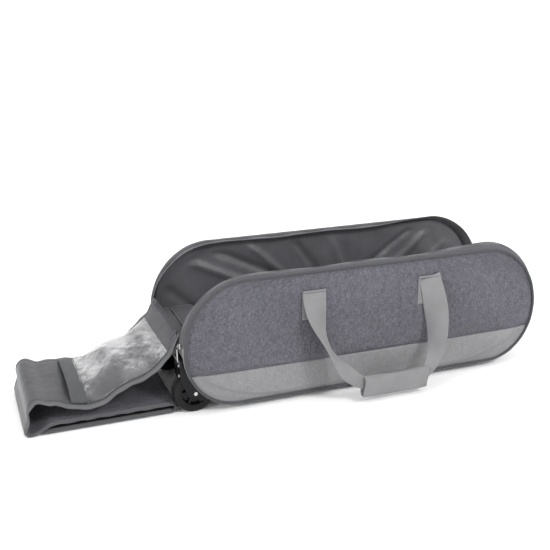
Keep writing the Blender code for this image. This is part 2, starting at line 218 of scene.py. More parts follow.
def woven(name, color, contrast):
    """Plain-woven cloth in yarns of mixed tone. Short pale and dark slubs run along both threads."""
    look = Look(name, 0.92, Sheen_Weight=0.10, Sheen_Roughness=0.5, Specular_IOR_Level=0.2)
    warp = look.noise(look.coords((110, 900, 1)), 3.0, 0.70)
    weft = look.noise(look.coords((900, 130, 1)), 3.0, 0.70)
    yarn = look.math("ADD", look.math("MULTIPLY", warp, 0.6), look.math("MULTIPLY", weft, 0.4))
    fleck = look.noise(look.coords((260, 420, 1)), 2.0, 0.5)
    mottle = look.noise(look.coords((75, 110, 1)), 3.0, 0.6)
    broad = look.noise(look.coords((11, 11, 11)), 2.0)
    dark, light = shade(color, 1 - contrast), shade(color, 1 + 1.2 * contrast)
    cloth = look.ramp(yarn, ((0.38, dark), (0.50, color), (0.62, light)))
    cloth = look.shaded(cloth, fleck, (0.34, 1 - 0.5 * contrast), (0.52, 1), (0.68, 1 + 0.7 * contrast))
    cloth = look.shaded(cloth, mottle, (0.35, 1 - 0.35 * contrast), (0.65, 1 + 0.35 * contrast))
    look.color(look.shaded(cloth, broad, (0.3, 0.90), (0.7, 1.08)))
    weave = look.math("MAXIMUM", look.ribs(YARN_PITCH, "X"), look.ribs(YARN_PITCH, "Y"))
    look.bump((broad, 0.25, 0.002), (yarn, 0.35, 0.0004), (weave, 0.35, 0.0002))
    return look.material


def nylon(name, color, roughness=0.42):
    """Thin coated lining: a soft sheen broken by small puckers, with a fine grain."""
    look = Look(name, roughness, Sheen_Weight=0.10, Specular_IOR_Level=0.38)
    puckers = look.noise(look.coords((28, 16, 20), "Object"), 4.0, 0.55)
    grain = look.noise(look.coords((1400, 1400, 1)), 1.0)
    look.color(look.ramp(puckers, ((0.25, shade(color, 0.86)), (0.75, shade(color, 1.16)))))
    look.roughness(grain, roughness - 0.06, roughness + 0.10)
    look.bump((puckers, 0.45, 0.006), (grain, 0.12, 0.0002))
    return look.material


def ribbed(name, color, pitch=0.0016, depth=0.0004):
    """Webbing or tape: ribs at a close pitch, with flecked yarns."""
    look = Look(name, 0.85, Sheen_Weight=0.12, Specular_IOR_Level=0.3)
    fleck = look.noise(look.coords((900, 900, 1)), 2.0, 0.6)
    broad = look.noise(look.coords((25, 25, 1)), 2.0)
    yarn = look.ramp(fleck, ((0.35, shade(color, 0.84)), (0.65, shade(color, 1.12))))
    look.color(look.shaded(yarn, broad, (0.3, 0.92), (0.7, 1.05)))
    ribs, cross = look.ribs(pitch, "X"), look.ribs(pitch / 1.7, "Y")
    look.bump((broad, 0.2, 0.001), (ribs, 0.6, depth), (cross, 0.35, depth / 2))
    return look.material


def moulded(name, color, roughness, grain=900):
    """Moulded plastic or rubber: a fine texture, and roughness that varies as handling leaves it."""
    look = Look(name, roughness, Specular_IOR_Level=0.22)
    fine = look.noise(look.coords((grain, grain, grain), "Object"), 2.0)
    broad = look.noise(look.coords((40, 40, 40), "Object"), 3.0)
    look.color(look.ramp(broad, ((0.3, shade(color, 0.85)), (0.8, shade(color, 1.35)))))
    look.roughness(broad, roughness - 0.06, roughness + 0.06)
    look.bump((fine, 0.15, 0.0002))
    return look.material


def plated(name, color, roughness):
    look = Look(name, roughness, Metallic=1.0)
    broad = look.noise(look.coords((120, 120, 120), "Object"), 3.0)
    look.color(look.ramp(broad, ((0.3, shade(color, 0.86)), (0.7, color))))
    look.roughness(broad, roughness - 0.05, roughness + 0.12)
    look.bump((broad, 0.05, 0.0005))
    return look.material


def clear_vinyl():
    """Thin clear vinyl: see-through face on, with a rippled gloss that pales where it slopes away. Its colour
    is painted highlight: pale streaks of reflected light on a dark grey.
    """
    look = Look("clear_vinyl", 0.10, Specular_IOR_Level=1.0, Coat_Weight=1.0, Coat_Roughness=0.05)
    broad = look.noise(look.coords((30, 18, 30), "Object"), 3.0, 0.5)
    fine = look.noise(look.coords((85, 30, 70), "Object"), 4.0, 0.6)
    # Painted highlight: a broad noise turns the colour from dark grey to near white, for pale streaks of
    # reflected light
    look.color(look.ramp(broad, ((0.38, (0.34, 0.34, 0.35)), (0.60, (0.95, 0.95, 0.96)))))
    look.bump((broad, 0.9, 0.020), (fine, 0.8, 0.006))
    normal = look.shader.inputs["Normal"].links[0].from_socket
    slope = look.node("ShaderNodeLayerWeight", {"Blend": 0.35, "Normal": normal}).outputs["Facing"]
    spread = {"Value": slope, "From Min": 0.18, "From Max": 0.80, "To Min": 0.06, "To Max": 0.50}
    veil = look.node("ShaderNodeMapRange", spread).outputs["Result"]
    look.tree.links.new(veil, look.shader.inputs["Alpha"])
    return look.material


HEATHER = (0.094, 0.092, 0.108)
LIGHT = (0.210, 0.209, 0.214)
LOOKS = {
    "heather": woven("heather_fabric", HEATHER, 0.34),
    "light": woven("light_fabric", LIGHT, 0.13),
    "hem": woven("hem_band", (0.075, 0.076, 0.081), 0.10),
    "flange": woven("rim_fabric", (0.078, 0.078, 0.087), 0.14),
    "lining": nylon("lining_nylon", (0.080, 0.080, 0.088)),
    # Painted shade: the lid's lining is the same nylon as the lining above, made darker because the lamps
    # light the lid strip more
    "shaded_lid_lining": nylon("shaded_lid_nylon", (0.032, 0.032, 0.037), roughness=0.34),
    "piping": ribbed("dark_binding", (0.060, 0.060, 0.068), pitch=0.0010, depth=0.0002),
    "tape": ribbed("zipper_tape", (0.120, 0.120, 0.128), pitch=0.0009, depth=0.0002),
    "coil": moulded("zipper_coil", (0.100, 0.100, 0.108), 0.38),
    "edge": ribbed("pale_binding", (0.105, 0.105, 0.110), pitch=0.0010, depth=0.0002),
    "webbing": ribbed("grey_webbing", (0.208, 0.206, 0.211)),
    "thread": moulded("thread", (0.260, 0.260, 0.265), 0.7),
    "dark_thread": moulded("dark_thread", (0.070, 0.070, 0.078), 0.7),
    "clear": clear_vinyl(),
    "black": moulded("black_plastic", (0.004, 0.004, 0.005), 0.24),
    "rubber": moulded("black_rubber", (0.007, 0.007, 0.007), 0.55, grain=1500),
    "steel": plated("plated_steel", (0.62, 0.62, 0.62), 0.28),
    "board": moulded("stiff_board", (0.05, 0.05, 0.05), 0.8),
}


# ---------------------------------------------------------------- mesh helpers

def finish_piece(name, bm, looks, body, replaces=(), sharp=40):
    """Makes a piece of the mesh, in the materials named, and rides it on a body if one is given."""
    mesh = bpy.data.meshes.new(name)
    bm.to_mesh(mesh)
    bm.free()
    for look in looks:
        mesh.materials.append(LOOKS[look])
    for polygon in mesh.polygons:
        polygon.use_smooth = True
    mesh.set_sharp_from_angle(angle=math.radians(sharp))
    piece = bpy.data.objects.new(name, mesh)
    bpy.context.scene.collection.objects.link(piece)
    if body:
        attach(piece, body)
    if replaces:
        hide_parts(*replaces)
    return piece


def close_piece(name, bm, looks, body, replaces=(), sharp=40):
    """Makes a piece of a mesh of closed solids, once their faces all point outwards."""
    bmesh.ops.recalc_face_normals(bm, faces=bm.faces)
    return finish_piece(name, bm, looks, body, replaces, sharp)


def distances(path):
    """How far along a path each of its points lies."""
    return np.concatenate([[0], np.cumsum(np.linalg.norm(np.diff(path, axis=0), axis=1))])


def read_at(s, reach, values):
    """Values that are given at distances along a path, read at other distances."""
    return np.stack([np.interp(s, reach, column) for column in np.asarray(values, float).T], axis=-1)


def lay_grid(bm, points, closed=False, look_of=None, keep=None, uv=None):
    """Adds a sheet through rows of points. Its UVs are distances along and across it, in metres."""
    points = np.asarray(points, float)
    rows, cols = points.shape[:2]
    verts = [[bm.verts.new(points[i, j]) for j in range(cols)] for i in range(rows)]
    layer = bm.loops.layers.uv.verify()
    along, across = uv or (distances(points[:, cols // 2]), distances(points[rows // 2]))
    last_gap = float(np.linalg.norm(points[rows // 2, -1] - points[rows // 2, 0]))
    for i in range(rows - 1):
        for j in range(cols if closed else cols - 1):
            if keep is not None and not keep(i, j):
                continue
            k = (j + 1) % cols
            face = bm.faces.new((verts[i][j], verts[i][k], verts[i + 1][k], verts[i + 1][j]))
            end = across[k] if k else across[-1] + last_gap
            spots = ((along[i], across[j]), (along[i], end), (along[i + 1], end), (along[i + 1], across[j]))
            for loop, spot in zip(face.loops, spots):
                loop[layer].uv = spot
            if look_of is not None:
                face.material_index = look_of(i, j)
    return verts


def cap(bm, ring):
    """Closes the end of a tube."""
    layer = bm.loops.layers.uv.verify()
    face = bm.faces.new(ring)
    for loop in face.loops:
        loop[layer].uv = (loop.vert.co.x + loop.vert.co.y, loop.vert.co.z)


def tube(name, rings, looks, body, replaces=(), sharp=40, joined=False):
    """A closed solid through rings of points, capped at its ends or joined where they meet."""
    bm = bmesh.new()
    verts = lay_grid(bm, rings, closed=True)
    if joined:
        bmesh.ops.remove_doubles(bm, verts=bm.verts, dist=1e-6)
    else:
        cap(bm, verts[0])
        cap(bm, verts[-1])
    return close_piece(name, bm, looks, body, replaces, sharp)


def cloth(name, rows, look, body, replaces, thickness, outward, offset=-1, keep=None):
    """A sheet through rows of points that faces outward. An offset of -1 thickens it inward, 0 both ways."""
    bm = bmesh.new()
    lay_grid(bm, rows, keep=keep)
    for vert in [v for v in bm.verts if not v.link_faces]:
        bm.verts.remove(vert)
    bm.normal_update()
    facing = sum((face.normal * face.calc_area() for face in bm.faces), Vector())
    if facing.dot(Vector(outward)) < 0:
        bmesh.ops.reverse_faces(bm, faces=bm.faces)
    piece = finish_piece(name, bm, (look,), body, replaces, sharp=180)
    skin = piece.modifiers.new("cloth", "SOLIDIFY")
    skin.thickness = thickness
    skin.offset = offset
    return piece


def smoothstep(low, high, value):
    t = np.clip((np.asarray(value, float) - low) / (high - low), 0, 1)
    return t * t * (3 - 2 * t)


def hump(value, centre, width):
    return np.exp(-(((np.asarray(value, float) - centre) / width) ** 2))


def crease(x, z, start, end, width, height):
    """A soft ridge along a line, which fades at both ends."""
    start, end = np.array(start), np.array(end)
    along = end - start
    length = np.linalg.norm(along)
    along = along / length
    s = (x - start[0]) * along[0] + (z - start[1]) * along[1]
    d = -(x - start[0]) * along[1] + (z - start[1]) * along[0]
    fade = smoothstep(-0.15 * length, 0.2 * length, s) * (1 - smoothstep(0.7 * length, 1.15 * length, s))
    return height * fade * np.exp(-((d / width) ** 2))


def add_bead(bm, stations, sides):
    """A small closed solid through rings, each given by its centre and its two half axes."""
    turns = np.arange(sides) * math.tau / sides
    rings = [[bm.verts.new(centre + a * math.cos(t) + b * math.sin(t)) for t in turns]
             for centre, a, b in stations]
    for first, second in zip(rings, rings[1:]):
        for i in range(sides):
            k = (i + 1) % sides
            bm.faces.new((first[i], first[k], second[k], second[i]))
    bm.faces.new(rings[0])
    bm.faces.new(rings[-1])


def stitch_line(name, path, normals, body, look="thread"):
    """One row of stitches as a piece."""
    bm = bmesh.new()
    add_stitches(bm, path, normals)
    close_piece(name, bm, (look,), body, sharp=180)


def add_stitches(bm, path, normals, pitch=0.0042, length=0.0030):
    """Stitches as short rounded thread lengths along a path of points, each lying on its surface."""
    path = np.asarray(path, float)
    normals = np.broadcast_to(np.asarray(normals, float), path.shape)
    reach = distances(path)
    for start in np.arange(int(reach[-1] / pitch)) * pitch:
        near, far = read_at(start, reach, path), read_at(start + length, reach, path)
        out = read_at(start, reach, normals)
        out /= np.linalg.norm(out)
        out *= STITCH_RADIUS
        thread = far - near
        size = np.linalg.norm(thread)
        if size < 1e-6:
            continue
        side = np.cross(thread / size, out)
        stations = [(near + thread * share + out * lift, side * wide, out * wide)
                    for share, wide, lift in ((0, 0.3, -0.6), (0.2, 1, 0.5), (0.8, 1, 0.5), (1, 0.3, -0.6))]
        add_bead(bm, stations, 5)


def sew_corners(bm, corners, lay, normal, count):
    """Stitches in straight runs between corners. lay() gives a run's points from its two coordinates."""
    for near, far in zip(corners, corners[1:]):
        run = np.linspace(near, far, count)
        add_stitches(bm, lay(run[:, 0], run[:, 1]), normal, pitch=0.0036, length=0.0026)


# ---------------------------------------------------------------- the case's end shape

def end_point(angle, inset=0.0):
    """(x, z) of the end shape. The angle runs from the right end's widest point, over the top, in degrees."""
    angle %= 360
    corner_x, corner_z = TOP_CORNER if angle <= 180 else BOTTOM_CORNER
    right = angle <= 90 or angle > 270
    centre_x = CASE_X + (HALF_LENGTH - corner_x) * (1 if right else -1)
    turn = math.radians(angle)
    return centre_x + (corner_x - inset) * math.cos(turn), WAIST_Z + (corner_z - inset) * math.sin(turn)


def end_path(first, last, step=0.005, inset=0.0):
    """Evenly spaced points of the end shape between two angles, their outward directions and distances."""
    angles = []
    angle = first
    while angle < last - 1e-6:
        angles.append(angle)
        bend = (math.floor(angle / 90) + 1) * 90
        following = min(angle + 2.5, bend, last)
        if following == bend and bend % 360 in (90, 270) and bend < last:
            angles += [bend, bend + 1e-4]
            following = bend + 1e-3
        angle = following
    angles.append(last)
    rough = np.array([end_point(a, inset) for a in angles])
    rough = rough[np.concatenate([[True], np.diff(distances(rough)) > 1e-7])]
    reach = distances(rough)
    even = np.linspace(0, reach[-1], max(4, int(round(reach[-1] / step))) + 1)
    points = read_at(even, reach, rough)
    tangent = np.gradient(points, axis=0)
    tangent /= np.linalg.norm(tangent, axis=1)[:, None]
    outward = np.stack([tangent[:, 1], -tangent[:, 0]], axis=1)
    return points, outward, even


def rim_angle(z):
    """The angle of end_point() at which the end shape reaches a height on the right."""
    _, corner_z = TOP_CORNER if z > WAIST_Z else BOTTOM_CORNER
    return math.degrees(math.asin((z - WAIST_Z) / corner_z))


def side_y(side, depth):
    """The y of a plane some depth in from a long side's outer face. A negative depth is outside it."""
    return -side * (HALF_DEPTH - depth)


def side_points(side, x, depth, z):
    """Points at depths in from a long side's outer face."""
    return np.stack(np.broadcast_arrays(x, side_y(side, depth), z), axis=-1)


def rim_point(side, point, outward, depth, lift):
    """A point some depth in from a long side's outer face, lifted off a point of the end shape."""
    return (point[0] + outward[0] * lift, side_y(side, depth), point[1] + outward[1] * lift)


def half_width(z, inset):
    """How far the end shape reaches from its middle at a height."""
    corner_x, corner_z = TOP_CORNER if z > WAIST_Z else BOTTOM_CORNER
    share = min(1.0, abs(z - WAIST_Z) / (corner_z - inset))
    return HALF_LENGTH - corner_x + (corner_x - inset) * math.sqrt(max(0.0, 1 - share * share))


def spaced_heights(low, high, low_end, high_end, count):
    """Heights that crowd together towards an end where the outline curves in."""
    t = np.linspace(0, 1, count)
    if low_end and high_end:
        t = (1 - np.cos(math.pi * t)) / 2
    elif high_end:
        t = np.sin(math.pi / 2 * t)
    elif low_end:
        t = 1 - np.cos(math.pi / 2 * t)
    return low + (high - low) * t


def rim_share(x, z, inset):
    """0 in the middle of a long side, 1 at its rim."""
    rim = np.vectorize(half_width)(z, inset)
    sideways = np.clip(1 - (rim - np.abs(x - CASE_X)) / 0.09, 0, 1)
    corner_z = TOP_Z - inset
    updown = np.clip(1 - np.minimum(corner_z - z, z - BASE_Z - inset) / 0.09, 0, 1)
    return np.clip(np.sqrt(sideways ** 2 + updown ** 2), 0, 1)


# ---------------------------------------------------------------- long sides

def panel_depth(x, z):
    """How far in the outer cloth lies: a padded crown, a few soft waves, and a tuck behind the piping."""
    share = rim_share(x, z, 0.0046)
    depth = 0.0016 - 0.0040 * (1 - share ** 2.4)
    depth += 0.0022 * smoothstep(0.90, 1.0, share)
    wave = np.sin((x - CASE_X) * 21 + 1.1) * np.sin(z * 26 + 0.7)
    depth += 0.0010 * wave * (1 - share)
    depth += 0.0006 * np.sin((x - CASE_X) * 47 - z * 35) * (1 - share)
    depth += 0.0011 * hump(z, SEAM_Z, 0.0016) - 0.0004 * hump(z, SEAM_Z + 0.005, 0.003)
    for start, end, width, height in PANEL_CREASES:
        depth += crease(x - CASE_X, z, start, end, width, height)
    return depth


PANEL_INSET = 0.0030
LINING_INSET = 0.0055
PANEL_CREASES = (
    ((-0.290, 0.150), (-0.235, 0.185), 0.010, 0.0012),
    ((0.120, 0.120), (0.235, 0.085), 0.012, -0.0009),
    ((0.190, 0.200), (0.270, 0.150), 0.009, 0.0010),
    ((-0.080, 0.205), (-0.095, 0.120), 0.012, 0.0010),
    ((0.125, 0.205), (0.105, 0.120), 0.012, 0.0010),
    ((-0.240, 0.060), (-0.180, 0.020), 0.010, 0.0008),
)


def panel_rows(side, heights, spread, inset, depth_at):
    """Rows of points across a long side, one for each height."""
    rows = []
    for z in heights:
        x = CASE_X + spread * half_width(z, inset)
        rows.append(side_points(side, x, depth_at(x, np.full_like(x, z)), z))
    return rows


def build_panel(name, side):
    """A long side's outer cloth, above and below the seam, and the stitches along the seam."""
    t = np.linspace(-1, 1, 150)
    spread = np.sign(t) * (1 - (1 - np.abs(t)) ** 1.25)
    upper = spaced_heights(SEAM_Z + 0.0002, TOP_Z - PANEL_INSET, False, True, 60)
    lower = spaced_heights(BASE_Z + PANEL_INSET, SEAM_Z - 0.0002, True, False, 34)
    for part, look, heights in (("upper", "heather", upper), ("band", "light", lower)):
        rows = panel_rows(side, heights, spread, PANEL_INSET, panel_depth)
        node = f"{name}_panel_{part}"
        cloth(f"{name}_{part}_cloth", rows, look, "case", [node], 0.0018, (0, -side, 0))
    x = CASE_X + np.linspace(-1, 1, 240) * (half_width(SEAM_Z + 0.004, PANEL_INSET) - 0.004)
    z = np.full_like(x, SEAM_Z + 0.0042)
    path = side_points(side, x, panel_depth(x, z), z)
    stitch_line(name + "_seam_stitches", path, (0, -side, 0), "case", "dark_thread")


LINING_CREASES = (
    ((-0.270, 0.195), (-0.080, 0.105), 0.0065, 0.0060),
    ((-0.225, 0.212), (-0.020, 0.110), 0.0070, -0.0060),
    ((-0.150, 0.214), (-0.060, 0.130), 0.0060, 0.0050),
    ((-0.300, 0.150), (-0.200, 0.060), 0.0080, -0.0045),
    ((-0.060, 0.214), (0.010, 0.120), 0.0070, -0.0045),
    ((0.020, 0.205), (0.070, 0.060), 0.0080, 0.0040),
    ((0.235, 0.210), (0.120, 0.110), 0.0065, 0.0060),
    ((0.200, 0.214), (0.080, 0.130), 0.0060, -0.0050),
    ((0.280, 0.185), (0.150, 0.080), 0.0075, 0.0045),
    ((0.300, 0.140), (0.230, 0.050), 0.0080, -0.0040),
)


def lining_depth(x, z):
    """The loose nylon inside a long side: long slanting creases, pulled down from the rim."""
    share = rim_share(x, z, 0.008)
    depth = 0.0075 + 0.0015 * (1 - share ** 3)
    loose = smoothstep(1.0, 0.75, share)
    for start, end, width, height in LINING_CREASES:
        depth += crease(x - CASE_X, z, start, end, width, height) * loose
    depth += 0.0007 * np.sin((x - CASE_X) * 63 + z * 85) * loose
    return depth


def build_panel_lining(name, side):
    """The lining inside a long side."""
    heights = spaced_heights(BASE_Z + 0.006, TOP_Z - LINING_INSET, True, True, 84)
    rows = panel_rows(side, heights, np.linspace(-1, 1, 210), LINING_INSET, lining_depth)
    node = name + "_panel_lining"
    piece = cloth(name + "_lining", rows, "lining", "case", [node], 0.0006, (0, side, 0), offset=0)


def round_section(radius, sides=10):
    """A circle's points, as two lists of distances from its centre."""
    turns = np.arange(sides) * math.tau / sides
    return radius * np.cos(turns), radius * np.sin(turns)


def build_piping(name, side):
    """A covered cord round the whole rim, where the long side meets the wall."""
    points, outward, reach = end_path(0.001, 360.0, step=0.006, inset=PIPING_RADIUS)
    across, lifts = round_section(PIPING_RADIUS)
    rings = []
    for point, out, s in zip(points[:-1], outward, reach):
        swell = 1 + 0.05 * math.sin(s * 170)
        rings.append([rim_point(side, point, out, PIPING_RADIUS + side * a * swell, lift * swell)
                      for a, lift in zip(across, lifts)])
    rings.append(rings[0])
    tube(name + "_piping_cord", rings, ("piping",), "case", [name + "_piping"], sharp=180, joined=True)


# ---------------------------------------------------------------- rim flange and zipper

def flare(angle, depth):
    """How far the loose flange leans out of line. It leans most at the end away from the lid."""
    far_end = 0.010 * smoothstep(75, 25, angle)
    lid_end = 0.003 * smoothstep(140, 175, angle)
    crown = 0.0012 * math.sin(math.radians(angle) * 9)
    return (far_end + lid_end + crown) * (max(depth - 0.0046, 0.0) / 0.018) ** 1.3


FLANGE_SECTION = (
    # depth, lift off the end shape
    (0.0030, -0.0016), (0.0046, -0.0002), (0.0060, 0.0008), (0.0090, 0.0011), (0.0120, 0.0009),
    (0.0142, 0.0002), (0.0150, -0.0008), (0.0150, -0.0022), (0.0142, -0.0032), (0.0100, -0.0036),
    (0.0060, -0.0036), (0.0030, -0.0030),
)
TAPE_SECTION = (
    (0.0130, -0.0010), (0.0180, -0.0009), (0.0216, -0.0010), (0.0216, -0.0019), (0.0180, -0.0020),
    (0.0130, -0.0020),
)


def build_rim(name, side):
    """The flange over the top, its zipper tape and coil, and two rows of stitches."""
    start = rim_angle(LID_ROOT_Z)
    points, outward, reach = end_path(start, 180 - start, step=0.004)
    angles = np.linspace(start, 180 - start, len(points))
    for part, section, look, node in (("flange", FLANGE_SECTION, "flange", "rim_flange"),
                                      ("tape", TAPE_SECTION, "tape", "zipper_tape")):
        rings = []
        for point, out, angle, s in zip(points, outward, angles, reach):
            ripple = 0.0005 * math.sin(s * 90 + 1.0)
            rings.append([rim_point(side, point, out, d, lift + flare(angle, d) + ripple * d / 0.015)
                          for d, lift in section])
        tube(f"{name}_{part}_cloth", rings, (look,), "case", [f"{name}_{node}"])
    build_teeth(name, side, points, outward, angles)
    for depth, lift in ((0.0138, 0.0004), (0.0170, -0.0009)):
        path = [rim_point(side, point, out, depth, lift + flare(angle, depth))
                for point, out, angle in zip(points, outward, angles)]
        normals = [(out[0], 0, out[1]) for out in outward]
        stitch_line(f"{name}_rim_stitches_{round(depth * 1e4)}", path, normals, "case", "dark_thread")


def build_teeth(name, side, points, outward, angles):
    """The zipper's coil: a row of close loops along the tape's free edge."""
    bm = bmesh.new()
    reach = distances(points)
    depth = 0.0218
    for k in range(int(reach[-1] / COIL_PITCH)):
        x, z, out_x, out_z, angle = read_at(k * COIL_PITCH, reach, np.column_stack([points, outward, angles]))
        middle = rim_point(side, (x, z), (out_x, out_z), depth, flare(angle, depth) - 0.0014)
        add_tooth(bm, np.array(middle), np.array([out_z, 0, -out_x]), np.array([0, side, 0]),
                  np.array([out_x, 0, out_z]))
    close_piece(name + "_coil", bm, ("coil",), "case", sharp=60)


def add_tooth(bm, middle, along, inward, out):
    """One coil loop, as a small rounded block."""
    stations = [(middle + along * share * 0.0007, inward * 0.0013 * scale, out * 0.0009 * scale)
                for share, scale in ((-1, 0.55), (-0.6, 1), (0.6, 1), (1, 0.55))]
    add_bead(bm, stations, 6)


# ---------------------------------------------------------------- walls, floor and wheel-well cover

def build_wall():
    """The light wall round the bottom and ends, open round both wheel housings, with lining inside."""
    start = rim_angle(LID_ROOT_Z - 0.003)
    edge = HALF_DEPTH - 0.0050
    holes = [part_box(name + "_wheel_housing") for name, _ in SIDES]
    right, top = holes[0][1].x, holes[0][1].z
    cuts = sorted(corner.y for hole in holes for corner in hole)
    ys = [-edge]
    for near, far in zip([-edge] + cuts, cuts + [edge]):
        ys += list(np.linspace(near, far, max(2, int((far - near) / 0.008)))[1:])
    for part, inset, thickness, look, node in (
        ("wall_cloth", 0.0, 0.0032, "light", "lower_gusset"),
        ("wall_lining", 0.0040, 0.0007, "lining", "gusset_lining"),
    ):
        points, outward, reach = end_path(180 - start, 360 + start, inset=inset)
        points = snap_to_hole(points, right, top)
        rows = []
        for (x, z), (out_x, out_z), s in zip(points, outward, reach):
            row = []
            for y in ys:
                slack = 1 - (abs(y) / edge) ** 6
                lift = slack * 0.0009 * (math.sin(s * 37 + y * 21) - 0.4) if z > BASE_Z + 0.02 else 0.0
                row.append((x + out_x * lift, y, z + out_z * lift))
            rows.append(row)

        def keep(i, j):
            x, z = (points[i] + points[i + 1]) / 2
            y = (ys[j] + ys[j + 1]) / 2
            return x >= right or z >= top or not any(low.y < y < high.y for low, high in holes)

        cloth(part, rows, look, "case", [node], thickness, (0, 0, -1), keep=keep)


def snap_to_hole(points, right, top):
    """Moves the nearest points of the wall's path onto the hole's two edges."""
    points = points.copy()
    left = points[:, 0] < CASE_X
    at_top = np.argmin(np.where(left, np.abs(points[:, 1] - top), 9))
    at_right = np.argmin(np.where(left & (points[:, 1] < WAIST_Z), np.abs(points[:, 0] - right), 9))
    points[at_top, 1] = top
    points[at_right, 0] = right
    return points


def build_floor_pad():
    """The padded floor over the stiff board, quilted by two lines of stitches."""
    low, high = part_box("floor_pad")
    rows = []
    for x in np.linspace(low.x, high.x, 120):
        row = []
        for y in np.linspace(low.y, high.y, 56):
            edge = min(x - low.x, high.x - x, y - low.y, high.y - y)
            rise = 0.0012 * smoothstep(0, 0.02, edge) - 0.0014 * hump(abs(y), 0.035, 0.0025)
            rise += 0.0004 * math.sin(x * 60 + 2) * math.sin(y * 70)
            row.append((x, y, high.z - 0.0012 + rise))
        rows.append(row)
    cloth("floor_padding", rows, "lining", "case", ["floor_pad"], 0.0022, (0, 0, 1))


def build_well_cover():
    """The lining-covered hood over the wheel housings: rounded, slack on top, with a piped seam across."""
    low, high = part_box("wheel_well_cover")
    radius = 0.012
    seam_x = low.x + 0.026
    path = [(low.x + 0.0005, high.z - 0.0018)]
    path += [(x, high.z) for x in np.linspace(low.x + 0.006, high.x - radius, 12)]
    path += arc((high.x - radius, high.z - radius), radius, 90, 0, 11)[1:]
    path += [(high.x, z) for z in np.linspace(high.z - radius - 0.006, low.z, 14)]

    def slack(y):
        return 1 - (2 * abs(y) / (high.y - low.y)) ** 4

    rows = []
    for x, z in path:
        row = []
        on_top = z > high.z - radius * 0.5
        for y in np.linspace(low.y, high.y, 60):
            dip = slack(y) * (0.0022 * math.sin(y * 31 + x * 40) - 0.0016)
            dip -= 0.0006 * math.sin(y * 95 + z * 60)
            dip -= 0.0018 * hump(x, seam_x, 0.003) * (z > high.z - 0.003)
            row.append((x, y, z + dip) if on_top else (x + dip, y, z))
        rows.append(row)
    cloth("well_cover_cloth", rows, "lining", "case", ["wheel_well_cover"], 0.0016, (0, 0, 1))
    across, up = round_section(0.0014, 8)
    rings = []
    for y in np.linspace(low.y + 0.004, high.y - 0.004, 60):
        seam_z = high.z + 0.0022 * math.sin(y * 31 + seam_x * 40) * slack(y) - 0.0014
        rings.append([(seam_x + a, y, seam_z + u) for a, u in zip(across, up)])
    tube("well_cover_piping", rings, ("edge",), "case", sharp=180)


# ---------------------------------------------------------------- wheels

def turned(name, half_profile, centre, look, body, cad_node, steps=72):
    """A piece turned about an axle along Y. Its (radius, y) profile is mirrored about the middle."""
    profile = [(r, -y) for r, y in half_profile[::-1]] + half_profile
    rings = [[(centre[0] + r * math.cos(t), centre[1] + y, centre[2] + r * math.sin(t)) for r, y in profile]
             for t in np.arange(steps + 1) * math.tau / steps]
    tube(name, rings, (look,), body, [cad_node], sharp=32, joined=True)


def arc(centre, radius, first, last, steps):
    turns = np.radians(np.linspace(first, last, steps))
    return [(centre[0] + radius * math.cos(t), centre[1] + radius * math.sin(t)) for t in turns]


def build_wheel(name):
    """A grooved tyre on a dished hub with six spokes on each face."""
    body = name + "_wheel"
    low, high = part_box(name + "_tyre")
    centre = Vector(JOINTS[name + "_wheel_spin"]["pos_m"])
    radius, half = (high.z - low.z) / 2, (high.y - low.y) / 2
    hub_low, hub_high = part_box(name + "_hub")
    hub_radius = (hub_high.z - hub_low.z) / 2
    corner = 0.0045
    groove = [(radius - 0.0007, 0.0006), (radius, 0.0012)]
    shoulder = arc((radius - corner, half - corner), corner, 0, 90, 7)
    tyre = groove + shoulder + [(hub_radius + 0.0003, half)]
    turned(name + "_tyre_tread", tyre, centre, "rubber", body, name + "_tyre")
    bore, dish = 0.0033, 0.0062
    hub = [(hub_radius, half), (hub_radius - 0.0022, half), (hub_radius - 0.0030, half - 0.0012),
           (hub_radius - 0.0038, half - dish), (0.0090, half - dish), (0.0085, half - 0.0015),
           (0.0075, half - 0.0005), (bore, half - 0.0005)]
    turned(name + "_hub_core", hub, centre, "black", body, name + "_hub")
    bm = bmesh.new()
    for face_side in (-1, 1):
        for k in range(6):
            add_spoke(bm, centre, math.tau * k / 6, face_side, half, dish, hub_radius)
    soften(close_piece(name + "_hub_spokes", bm, ("black",), body, sharp=30), 0.0004)


def soften(piece, width, segments=2):
    """Rounds a piece's hard edges."""
    bevel = piece.modifiers.new("soft_edges", "BEVEL")
    bevel.width = width
    bevel.segments = segments
    bevel.limit_method = "ANGLE"
    bevel.angle_limit = math.radians(35)


def add_spoke(bm, centre, turn, face_side, half, dish, hub_radius):
    out = Vector((math.cos(turn), 0, math.sin(turn)))
    side = Vector((-math.sin(turn), 0, math.cos(turn)))
    face = Vector((0, face_side, 0))
    verts = []
    for r, wide in ((0.0082, 0.0026), (hub_radius - 0.0028, 0.0019)):
        for s in (-1, 1):
            for depth in (half - dish - 0.0006, half - 0.0018):
                verts.append(bm.verts.new(Vector(centre) + out * r + side * s * wide + face * depth))
    a, b, c, d, e, f, g, h = verts
    for quad in ((a, b, d, c), (e, g, h, f), (a, e, f, b), (c, d, h, g), (b, f, h, d), (a, c, g, e)):
        bm.faces.new(quad)


